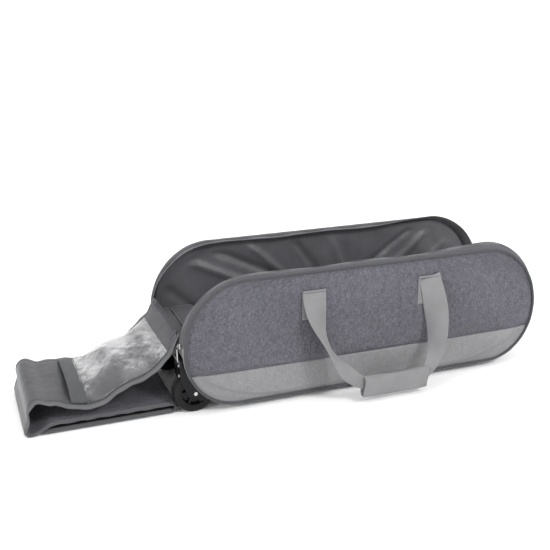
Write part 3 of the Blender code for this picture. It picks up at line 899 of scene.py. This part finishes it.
def build_housing(name):
    """The moulded fender over a wheel, in its CAD shape with softened edges, and its two rivets."""
    bm = bmesh.new()
    bm.from_mesh(frame["nodes"][name + "_wheel_housing"].data)
    bmesh.ops.remove_doubles(bm, verts=bm.verts, dist=1e-6)
    bmesh.ops.dissolve_limit(bm, angle_limit=math.radians(1.0), verts=bm.verts, edges=bm.edges)
    fender = close_piece(name + "_fender", bm, ("black",), "case", [name + "_wheel_housing"], sharp=30)
    soften(fender, 0.0008, 3)
    for place in ("upper", "lower"):
        rivet = f"{name}_rivet_{place}"
        low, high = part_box(rivet)
        middle, half = (low + high) / 2, (high - low) / 2
        rings = []
        for share, size in ((0, 1.0), (0.35, 1.0), (0.6, 0.9), (0.8, 0.68), (0.95, 0.35), (1.0, 0.1)):
            ys, zs = round_section(half.z * size, 20)
            rings.append([(high.x - 2 * half.x * share, middle.y + y, middle.z + z) for y, z in zip(ys, zs)])
        tube(rivet + "_head", rings, ("steel",), "case", [rivet])


# ---------------------------------------------------------------- handles

def bezier(points, t):
    a, b, c, d = (np.array(p, float) for p in points)
    s = 1 - t
    return a * s**3 + b * 3 * s * s * t + c * 3 * s * t * t + d * t**3


def web_section(width, thick=0.0017):
    """Webbing's section: flat, with rounded selvedges. (across, out) points."""
    half, edge = width / 2, thick / 2
    points = []
    for centre, first in ((half - edge, -90), (-half + edge, 90)):
        for turn in np.radians(np.linspace(first, first + 180, 5)):
            points.append((centre + edge * math.cos(turn), edge * math.sin(turn)))
    inner = np.linspace(-half + 2 * edge, half - 2 * edge, 9)
    lower = [(a, -edge) for a in inner]
    upper = [(a, edge) for a in inner[::-1]]
    return lower + points[:5] + upper + points[5:]


def strap_leg(side, route, twist, steps=44):
    """Webbing along a curved route. It turns about its own line and narrows, a little cupped all the way."""
    rings = []
    route = [(CASE_X + x, side_y(side, -out), z) for x, out, z in route]
    for t in np.arange(steps + 1) / steps:
        tangent = bezier(route, min(t + 0.01, 1)) - bezier(route, max(t - 0.01, 0))
        tangent /= np.linalg.norm(tangent)
        turn = math.radians(twist) * math.sin(math.pi * t) ** 2
        across = np.cross(tangent, np.array([math.sin(turn), -side * math.cos(turn), 0]))
        across /= np.linalg.norm(across)
        out = np.cross(across, tangent)
        width = ROOT_WIDTH + (GRIPPED_WIDTH - ROOT_WIDTH) * float(smoothstep(0.3, 1, t))
        cup = 0.0022 * math.sin(math.pi * t)
        middle = bezier(route, t)
        rings.append([middle + across * a + out * (o + cup * (1 - (2 * a / width) ** 2))
                      for a, o in web_section(width)])
    return rings


GRIP_OUT = 0.048
ROOT_WIDTH = 0.040
GRIPPED_WIDTH = 0.021
HANDLE_LEGS = (
    # name, root's x, first bend's x and distance out, second bend's x, twist in degrees
    ("left", -0.106, (-0.106, 0.008), -0.086, 62),
    ("right", 0.101, (0.120, 0.012), 0.110, -52),
)


def build_handle(name, side):
    """The carrying handle: two legs of webbing from their sewn roots into the grip."""
    low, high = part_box(name + "_grip_wrap")
    grip_z = (low.z + high.z) / 2
    top_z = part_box(name + "_strap")[1].z
    for (place, root_x, bend, low_x, twist), end_x in zip(HANDLE_LEGS, (low.x + 0.008, high.x - 0.008)):
        route = [(root_x, 0.0034, top_z), (*bend, 0.120), (low_x, GRIP_OUT, grip_z + 0.026),
                 (end_x - CASE_X, GRIP_OUT, grip_z + 0.003)]
        nodes = [name + "_strap"] if place == "left" else []
        rings = strap_leg(side, route, twist)
        tube(f"{name}_{place}_webbing", rings, ("webbing",), name + "_handle", nodes, sharp=180)
        build_root(name, side, place, top_z)
    build_grip(name, side, low, high)


def build_root(name, side, place, top_z):
    """Webbing sewn flat to the long side, with its fold at the top and box stitching."""
    patch = f"{name}_{place}_strap_patch"
    low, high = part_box(patch)
    middle_x = (low.x + high.x) / 2
    path = [(low.z, 0.0002), (low.z + 0.0004, -0.0008)]
    path += [(z, -0.0010) for z in np.linspace(low.z + 0.004, top_z - 0.002, 14)]
    fold = ((0.0002, -0.0012), (0.0012, -0.0020), (0.0008, -0.0030), (-0.0006, -0.0035))
    path = np.array(path + [(top_z + rise, depth) for rise, depth in fold])
    rings = []
    for k, (z, depth) in enumerate(path):
        rise, slope = path[min(k + 1, len(path) - 1)] - path[max(k - 1, 0)]
        size = math.hypot(rise, slope)
        base = panel_depth(np.array([middle_x]), np.array([min(z, TOP_Z - 0.01)]))[0] + depth - 0.0006
        rings.append([(middle_x + a, side_y(side, base - o * abs(rise) / size), z + o * slope / size)
                      for a, o in web_section(high.x - low.x, 0.0014)])
    tube(f"{name}_{place}_root", rings, ("webbing",), "case", [patch], sharp=180)

    def lay(xs, zs):
        return side_points(side, xs, panel_depth(np.full(xs.shape, middle_x), zs) - 0.0026, zs)

    x0, x1, z0, z1 = low.x + 0.0035, high.x - 0.0035, low.z + 0.0035, low.z + 0.027
    bm = bmesh.new()
    for corners in ([(x0, z0), (x1, z0), (x1, z1), (x0, z1), (x0, z0), (x1, z1)], [(x0, z1), (x1, z0)]):
        sew_corners(bm, corners, lay, (0, -side, 0), 14)
    close_piece(f"{name}_{place}_root_stitches", bm, ("thread",), "case", sharp=180)


def build_grip(name, side, low, high):
    """The padded wrap that holds the webbing together: a soft flat roll, open at both ends."""
    middle, half = (low + high) / 2, (high - low) / 2
    steps, sides = 40, 40

    def outline(share, shrink):
        pinch = 1 - 0.06 * math.sin(math.pi * share) + 0.02 * math.sin(share * 17)
        return [((half.y - shrink) * squared(math.cos(t), 0.6) * pinch,
                 (half.z - shrink) * squared(math.sin(t), 0.8)) for t in np.arange(sides) * math.tau / sides]

    def height(share):
        return middle.z - 0.0016 * math.sin(math.pi * share)

    bm = bmesh.new()
    faces = []
    for shrink in (0.0, 0.0022):
        rings = []
        for share in np.arange(steps + 1) / steps:
            x, lean = low.x + (high.x - low.x) * share, 0.0012 * math.sin(share * 9)
            rings.append([(x + 0.0015 * math.sin(z * 150), middle.y + y + lean * z / half.z,
                           height(share) + z) for y, z in outline(share, shrink)])
        faces.append(lay_grid(bm, rings, closed=True))
    for end in (0, -1):
        outer, inner = faces[0][end], faces[1][end]
        for j in range(sides):
            k = (j + 1) % sides
            bm.faces.new((outer[j], outer[k], inner[k], inner[j]))
    piece = close_piece(name + "_grip", bm, ("webbing",), name + "_handle", [name + "_grip_wrap"], sharp=60)
    path, normals = [], []
    for share in np.linspace(0.03, 0.97, 60):
        y, z = outline(share, 0.0)[6 if side < 0 else 13]
        path.append((low.x + (high.x - low.x) * share, middle.y + y, height(share) + z))
        normals.append((0, y, z * 0.3))
    stitch_line(name + "_grip_stitches", path, normals, name + "_handle")


def build_pull_handle():
    """The towing loop: one length of webbing, sewn down at both ends."""
    low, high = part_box("end_pull_handle")
    root = 0.014
    ys = np.concatenate([[low.y], np.linspace(low.y + root, high.y - root, 44), [high.y]])
    share = np.clip((ys - low.y - root) / (high.y - low.y - 2 * root), 0, 1)
    xs = low.x + 0.0009 + (high.x - low.x - 0.0018) * np.abs(np.sin(math.pi * share)) ** 1.2
    path = np.stack([xs, ys], axis=1)
    tangents = np.gradient(path, axis=0)
    tangents /= np.linalg.norm(tangents, axis=1)[:, None]
    z_mid = (low.z + high.z) / 2
    rings = [[(x + ty * o, y - tx * o, z_mid + a) for a, o in web_section(high.z - low.z, 0.0016)]
             for (x, y), (tx, ty) in zip(path, tangents)]
    tube("end_pull_webbing", rings, ("webbing",), "case", ["end_pull_handle"], sharp=180)

    def lay(ys, zs):
        return np.stack([np.full(ys.shape, low.x + 0.0018), ys, zs], axis=1)

    bm = bmesh.new()
    z0, z1 = low.z + 0.003, high.z - 0.003
    for y0, y1 in ((low.y + 0.002, low.y + 0.012), (high.y - 0.012, high.y - 0.002)):
        sew_corners(bm, [(y0, z0), (y1, z0), (y1, z1), (y0, z1), (y0, z0)], lay, (1, 0, 0), 8)
    close_piece("end_pull_stitches", bm, ("thread",), "case", sharp=180)


# ---------------------------------------------------------------- sliders

SLIDER_SECTIONS = (
    # share of the height, width, thickness
    (0, 0.6, 0.62), (0.06, 0.78, 0.62), (0.3, 1.0, 0.62), (0.55, 0.86, 0.62), (0.8, 0.95, 0.62),
    (0.95, 0.8, 0.62), (1, 0.62, 0.62),
)
TAB_SECTIONS = (
    (0, 0.70, 0.7), (0.05, 0.95, 1), (0.25, 1, 1), (0.45, 0.92, 1), (0.75, 0.62, 0.9), (0.92, 0.56, 0.8),
    (1, 0.40, 0.6),
)


def squared(value, power):
    """A sine or cosine, pushed outwards so that its circle becomes a rounded rectangle."""
    return math.copysign(abs(value) ** power, value)


def slider_part(name, node, body, sections, power, shift=0.0):
    low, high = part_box(node)
    middle, half = (low + high) / 2, (high - low) / 2
    rings = []
    for share, wide, thick in sections:
        z = low.z + (high.z - low.z) * share
        rings.append([(middle.x + shift + half.x * thick * squared(math.cos(t), power),
                       middle.y + half.y * wide * squared(math.sin(t), power), z)
                      for t in np.arange(16) * math.tau / 16])
    tube(name, rings, ("steel",), body, [node])


def build_slider(name):
    """The zipper slider: a waisted body with a bridge, and a pull tab that hangs from it."""
    slider_part(name + "_slider_body", name + "_slider", "case", SLIDER_SECTIONS, 0.5, shift=0.0008)
    low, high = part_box(name + "_slider")
    middle = (low + high) / 2
    rings = []
    for turn in np.linspace(0, math.pi, 9):
        x, z = low.x + 0.0016 - 0.0022 * math.sin(turn), middle.z + 0.0030 * math.cos(turn)
        rings.append([(x + 0.0006 * math.cos(t), middle.y + 0.0011 * math.sin(t), z + 0.00024 * math.cos(t))
                      for t in np.arange(8) * math.tau / 8])
    tube(name + "_slider_bridge", rings, ("steel",), "case", sharp=50)
    slider_part(name + "_pull_tab", name + "_slider_pull", name + "_pull", TAB_SECTIONS, 0.4)


# ---------------------------------------------------------------- lid strip

LID_COUNT = 7
TUCKED_FOLD = 5
KNEE_REACH, KNEE_TURN = 0.0740, 199.5
KNEE_ROUNDNESS = 0.030
FOLD_ZONES = {1: (0.004, 0.016), 2: (0.030, 0.030), 3: (0.040, 0.0175), 4: (0.0175, 0.040),
              6: (0.020, 0.020), 7: (0.020, 0.020)}
LID_HALF = (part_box("lid_panel_1")[1].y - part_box("lid_panel_1")[0].y) / 2


def along(turn):
    return np.stack([np.cos(turn), np.sin(turn)], axis=-1)


def inner(turn):
    return np.stack([np.sin(turn), -np.cos(turn)], axis=-1)


def fold_pivot(number):
    joint = next(j for j in frame["joints"] if j["child"] == f"lid_{number}")
    return np.array([joint["pos_m"][0], joint["pos_m"][2]])


def lid_bends():
    """The strip's bends at rest, from root to tip. Each has its fold's number, or 0, the flat distance to it,
    its place in the XZ plane, the strip's direction before it, and how far the strip turns there."""
    pivot = {number: fold_pivot(number) for number in range(1, LID_COUNT + 1)}
    knee = pivot[2] + KNEE_REACH * along(math.radians(KNEE_TURN))
    tuck_x = pivot[TUCKED_FOLD][0]
    tip = np.array([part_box(f"lid_panel_{LID_COUNT}")[0].x, pivot[7][1]])
    over = [(1, pivot[1]), (2, pivot[2]), (0, knee), (3, pivot[3]), (4, pivot[4]),
            (0, np.array([tuck_x, pivot[4][1]]))]
    under = [(0, np.array([tuck_x, pivot[6][1]])), (6, pivot[6]), (7, pivot[7]), (0, tip)]
    bends = []
    reach = 0.0
    for layer, turn in ((over, math.radians(90)), (under, math.radians(180))):
        for (fold, place), (_, following) in zip(layer, layer[1:]):
            away = following - place
            bend = (math.atan2(away[1], away[0]) - turn + math.pi) % math.tau - math.pi
            bends.append((fold, reach, place, turn, bend))
            turn += bend
            reach += float(np.linalg.norm(away))
        fold, place = layer[-1]
        bends.append((fold, reach, place, turn, 0.0))
    return bends


BENDS = lid_bends()
FOLD_AT = {fold: reach for fold, reach, *_ in BENDS if fold}
KNEE_AT = BENDS[2][1]
TUCK_AT = BENDS[5][1]
TIP_AT = BENDS[-1][1]
BREAKS = [-1.0] + [(near[1] + far[1]) / 2 for near, far in zip(BENDS, BENDS[1:])] + [9.0]


def fold_marks(number):
    """The two points between which a piece bends at a fold."""
    before, after = FOLD_ZONES[number]
    _, _, place, turn, bend = next(b for b in BENDS if b[0] == number)
    return place - before * along(turn), place + after * along(turn + bend)


def bent(fold, place, first, bend, ds, n):
    """(x, z) of points at a bend, each turned by its share of the bend."""
    if not fold:
        turn = first + bend * smoothstep(-KNEE_ROUNDNESS, KNEE_ROUNDNESS, ds)
        return place + ds[:, None] * along(turn) + n[:, None] * inner(turn)
    start, end = fold_marks(fold)
    chord = end - start
    weight = np.full(ds.shape, 0.5)
    for _ in range(60):
        turn = first + weight * bend
        points = place + ds[:, None] * along(turn) + n[:, None] * inner(turn)
        weight = 0.5 * weight + 0.5 * smoothstep(0, 1, (points - start) @ chord / (chord @ chord))
    return points


def lid_point(s, n):
    """(x, z) at flat distances along the strip and heights above its middle, towards the lining."""
    s, n = np.broadcast_arrays(np.asarray(s, float), np.asarray(n, float))
    points = np.zeros(s.shape + (2,))
    for (fold, at, place, turn, bend), low, high in zip(BENDS, BREAKS, BREAKS[1:]):
        here = (s > low) & (s <= high)
        if here.any():
            points[here] = bent(fold, place, turn, bend, s[here] - at, n[here])
    points[..., 1] = np.maximum(points[..., 1], 0.0006)
    return points


def lid_slack(s, y):
    """How the loose strip strays from its plain folds, towards the lining."""
    front = 0.5 - 0.5 * y / LID_HALF
    stray = -0.0060 * hump(s, 0.045, 0.030) * smoothstep(0.0, 0.03, s) * front
    stray = stray - 0.0125 * hump(s, KNEE_AT + 0.022, 0.042) * front ** 1.5
    stray = stray - 0.0085 * hump(s, FOLD_AT[3] - 0.004, 0.022)
    stray = stray - 0.0065 * hump(s, FOLD_AT[4] - 0.007, 0.014)
    stray = stray + 0.0035 * hump(s, FOLD_AT[4] + 0.012, 0.018)
    stray = stray + 0.0022 * np.sin(s * 70 + y * 14) * hump(s, 0.235, 0.035) * (0.4 + front)
    edge = np.abs(y / LID_HALF) ** 6
    stray = stray + 0.0007 * edge * np.sin(s * 210 + np.where(y > 0, 1.3, 0.0))
    return stray * (1 - smoothstep(TUCK_AT - 0.05, TUCK_AT - 0.01, s))


def lid_surface(s, y, n):
    """Points of the loose strip at flat distances along and across it, at heights above its middle."""
    xz = lid_point(s, n + lid_slack(s, y))
    return np.stack([xz[..., 0], np.broadcast_to(y, xz.shape[:2]), xz[..., 1]], axis=-1)


LID_HALF_SECTION = (
    # across, lining side, outer side
    (0.0000, 0.0026, -0.0026), (0.0150, 0.0026, -0.0026), (0.0300, 0.0026, -0.0026),
    (0.0450, 0.0026, -0.0026), (0.0600, 0.0025, -0.0026), (0.0700, 0.0023, -0.0024),
    (0.0750, 0.0019, -0.0021), (0.0775, 0.0011, -0.0013), (0.0784, 0.0019, -0.0019),
    (0.0795, 0.0023, -0.0022), (0.0806, 0.0019, -0.0019), (0.0814, 0.0008, -0.0008),
    (0.0840, 0.0006, -0.0006), (0.0872, 0.0005, -0.0005),
)
PIPED = (0.0775, 0.0814)


def lid_ring():
    """The strip's section as one loop of (across, height) points, and each span's material."""
    rows = LID_HALF_SECTION
    loop = [(-y, top) for y, top, _ in rows[::-1]] + [(y, top) for y, top, _ in rows[1:]]
    loop += [(y, bottom) for y, _, bottom in rows[::-1]] + [(-y, bottom) for y, _, bottom in rows[1:]]
    looks = []
    for (ya, na), (yb, nb) in zip(loop, loop[1:] + loop[:1]):
        middle = abs(ya + yb) / 2
        if middle > PIPED[0]:
            looks.append(2 if middle > PIPED[1] else 3)
        else:
            looks.append(0 if na + nb > 0 else 1)
    return np.array(loop), looks


def bend_piece(piece, number):
    """Bakes a piece of the strip's transform into its mesh. The fold's marks are read but not used."""
    start, end = fold_marks(number)
    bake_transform(piece)


def lid_parts():
    """The strip's pieces: name, start and end along it, fold, body if it only rides one, and CAD panel."""
    marks = [at for _, at, *_ in BENDS]
    middles = [(near + far) / 2 for near, far in zip(marks, marks[1:])]
    return (
        ("1", -0.004, middles[0], 1, None, 1),
        ("2", middles[0], middles[1], 2, None, 2),
        ("3", middles[1], middles[3], 3, None, 3),
        ("4", middles[3], middles[4], 4, None, 4),
        ("floor", middles[4], TUCK_AT, 0, "lid_4", 0),
        ("under", TUCK_AT + 1e-5, middles[6], 0, "lid_5", 5),
        ("6", middles[6], middles[7], 6, None, 6),
        ("7", middles[7], TIP_AT, 7, None, 7),
    )


def strip_piece(name, rings, lengths, ends, panel):
    """A closed stretch of the strip through its rings, not yet on a body."""
    loop, looks = lid_ring()
    bm = bmesh.new()
    verts = lay_grid(bm, rings, closed=True, look_of=lambda i, j: looks[j], uv=(lengths, distances(loop)))
    for end in ends:
        cap(bm, verts[end])
    nodes = [f"lid_panel_{panel}"] if panel else []
    # The strip's lining side takes the darker lid nylon, which is painted shade
    piece = close_piece(name, bm, ("shaded_lid_lining", "heather", "tape", "edge"), None, nodes, sharp=180)
    return piece


def build_lid():
    """The lid strip, in a piece for each fold, with its coil."""
    loop, _ = lid_ring()
    caps = {"1": (0,), "7": (-1,), "floor": (-1,), "under": (0,)}
    for name, first, last, fold, body, panel in lid_parts():
        count = int((last - first) / COIL_PITCH)
        stations = np.linspace(first, last, max(6, count) + 1)
        rings = lid_surface(stations[:, None], loop[None, :, 0], loop[None, :, 1])
        strip = strip_piece(f"lid_strip_{name}", rings, stations, caps.get(name, ()), panel)
        spots = first + (np.arange(count) + 0.5) * COIL_PITCH
        coil = coil_piece(f"lid_coil_{name}", lambda s, y: lid_point(s, lid_slack(s, y)), spots, 0.0004)
        for piece in (strip, coil):
            if fold:
                bend_piece(piece, fold)
            else:
                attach(piece, body)
    build_tucked_fold()


def build_tucked_fold():
    """The half turn between the strip's two layers on the floor, with its outer face outside."""
    pivot = fold_pivot(TUCKED_FOLD)
    radius = BENDS[5][2][1] - pivot[1]
    loop, _ = lid_ring()
    heights = np.where(loop[:, 1] > 0, 0.4, 1.0) * loop[:, 1]
    turns = np.radians(np.linspace(90, -90, 19))
    rings = [[(pivot[0] + (radius - n) * math.cos(t), y, pivot[1] + (radius - n) * math.sin(t))
              for y, n in zip(loop[:, 0], heights)] for t in turns]
    strip = strip_piece("lid_strip_tuck", rings, radius * (math.pi / 2 - turns), (0, -1), None)
    spots = np.radians(np.linspace(80, -80, 8))
    coil = coil_piece("lid_coil_tuck", lambda t, y: pivot + radius * along(t), spots, -0.05)
    for piece in (strip, coil):
        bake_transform(piece)


def coil_piece(name, place, spots, step):
    """The zipper coil's loops along both edges of the lid, at spots along a path in the XZ plane."""
    bm = bmesh.new()
    for spot in spots:
        for y in (0.0015 - LID_HALF, LID_HALF - 0.0015):
            near, far = place(spot - step, y), place(spot + step, y)
            x, z = (near + far) / 2
            along_x, along_z = (far - near) / np.linalg.norm(far - near)
            add_tooth(bm, np.array([x, y, max(z, 0.0016)]), np.array([along_x, 0, along_z]),
                      np.array([0, 1.0, 0]), np.array([along_z, 0, -along_x]))
    return close_piece(name, bm, ("coil",), None, sharp=60)


# ---------------------------------------------------------------- clear pocket

POCKET_START = 0.024
POCKET_EDGE = 0.0745
HEM_SPAN = (KNEE_AT + 0.0200, KNEE_AT + 0.0440)
PUCKERS = random.Random(5)
POCKET_WAVES = [
    [PUCKERS.uniform(low, high) for low, high in ((20, 90), (-70, 70), (0, 6), (0.3, 1.0))] for _ in range(9)
]


def pocket_height(s, y):
    """How high the slack vinyl stands off the lining."""
    t = np.clip((s - POCKET_START) / (HEM_SPAN[0] - POCKET_START), 0, 1)
    swell = np.maximum(0.030 * np.sin(math.pi * 0.86 * t) ** 0.9, 0.012 * smoothstep(0.75, 1.0, t))
    across = np.clip(1 - (np.abs(y) / POCKET_EDGE) ** 2.6, 0, 1) ** 0.72
    ripple = sum(size * (0.5 - np.abs(np.sin((a * s + b * y + c) / 2))) for a, b, c, size in POCKET_WAVES)
    return 0.0030 + across * (swell + 0.0011 * ripple * np.minimum(1.0, 4 * t))


def hem_height(s, y):
    """How high the hem stands: on from the vinyl's mouth, and a little lower at its free edge."""
    t = (s - HEM_SPAN[0]) / (HEM_SPAN[1] - HEM_SPAN[0])
    base = pocket_height(HEM_SPAN[0], y) - 0.0030
    return 0.0032 + base * (1 - 0.30 * t) + 0.0006 * np.sin(y * 120) * t


def pocket_sheet(name, first, last, height, look, cad_node, thickness):
    """A sheet on the lid's inner face, sewn down at its sides."""
    s = np.linspace(first, last, max(8, int((last - first) / 0.002)) + 1)[:, None]
    y = np.linspace(-POCKET_EDGE, POCKET_EDGE, 75)[None, :]
    rows = lid_surface(s, y, height(s, y))
    piece = cloth(name, rows, look, None, [cad_node], thickness, (0, 0, 1))
    return piece


def build_pocket():
    """The clear pocket in its two pieces, and its hem."""
    middle, mouth = (FOLD_AT[2] + KNEE_AT) / 2, HEM_SPAN[0] + 0.003
    near = pocket_sheet("vinyl_near", POCKET_START, middle, pocket_height, "clear", "clear_pocket_1", 0.0004)
    bend_piece(near, 2)
    far = pocket_sheet("vinyl_far", middle, mouth, pocket_height, "clear", "clear_pocket_2", 0.0004)
    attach(far, "lid_2")
    hem = pocket_sheet("hem_band", *HEM_SPAN, hem_height, "hem", "pocket_hem", 0.0012)
    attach(hem, "lid_2")


# ---------------------------------------------------------------- carried-over nodes

def dress_nodes():
    """Gives the CAD nodes that stay in view their finished materials."""
    for name, look in (("base_board", "board"), ("front_axle", "steel"), ("back_axle", "steel"),
                       ("front_foot", "rubber"), ("back_foot", "rubber")):
        node = frame["nodes"][name]
        node.data.materials.clear()
        node.data.materials.append(LOOKS[look])


build_stage()
for side_name, side_sign in SIDES:
    build_panel(side_name, side_sign)
    build_panel_lining(side_name, side_sign)
    build_piping(side_name, side_sign)
    build_rim(side_name, side_sign)
    build_housing(side_name)
    build_wheel(side_name)
    build_handle(side_name, side_sign)
    build_slider(side_name)
build_wall()
build_floor_pad()
build_well_cover()
build_pull_handle()
build_lid()
build_pocket()
dress_nodes()
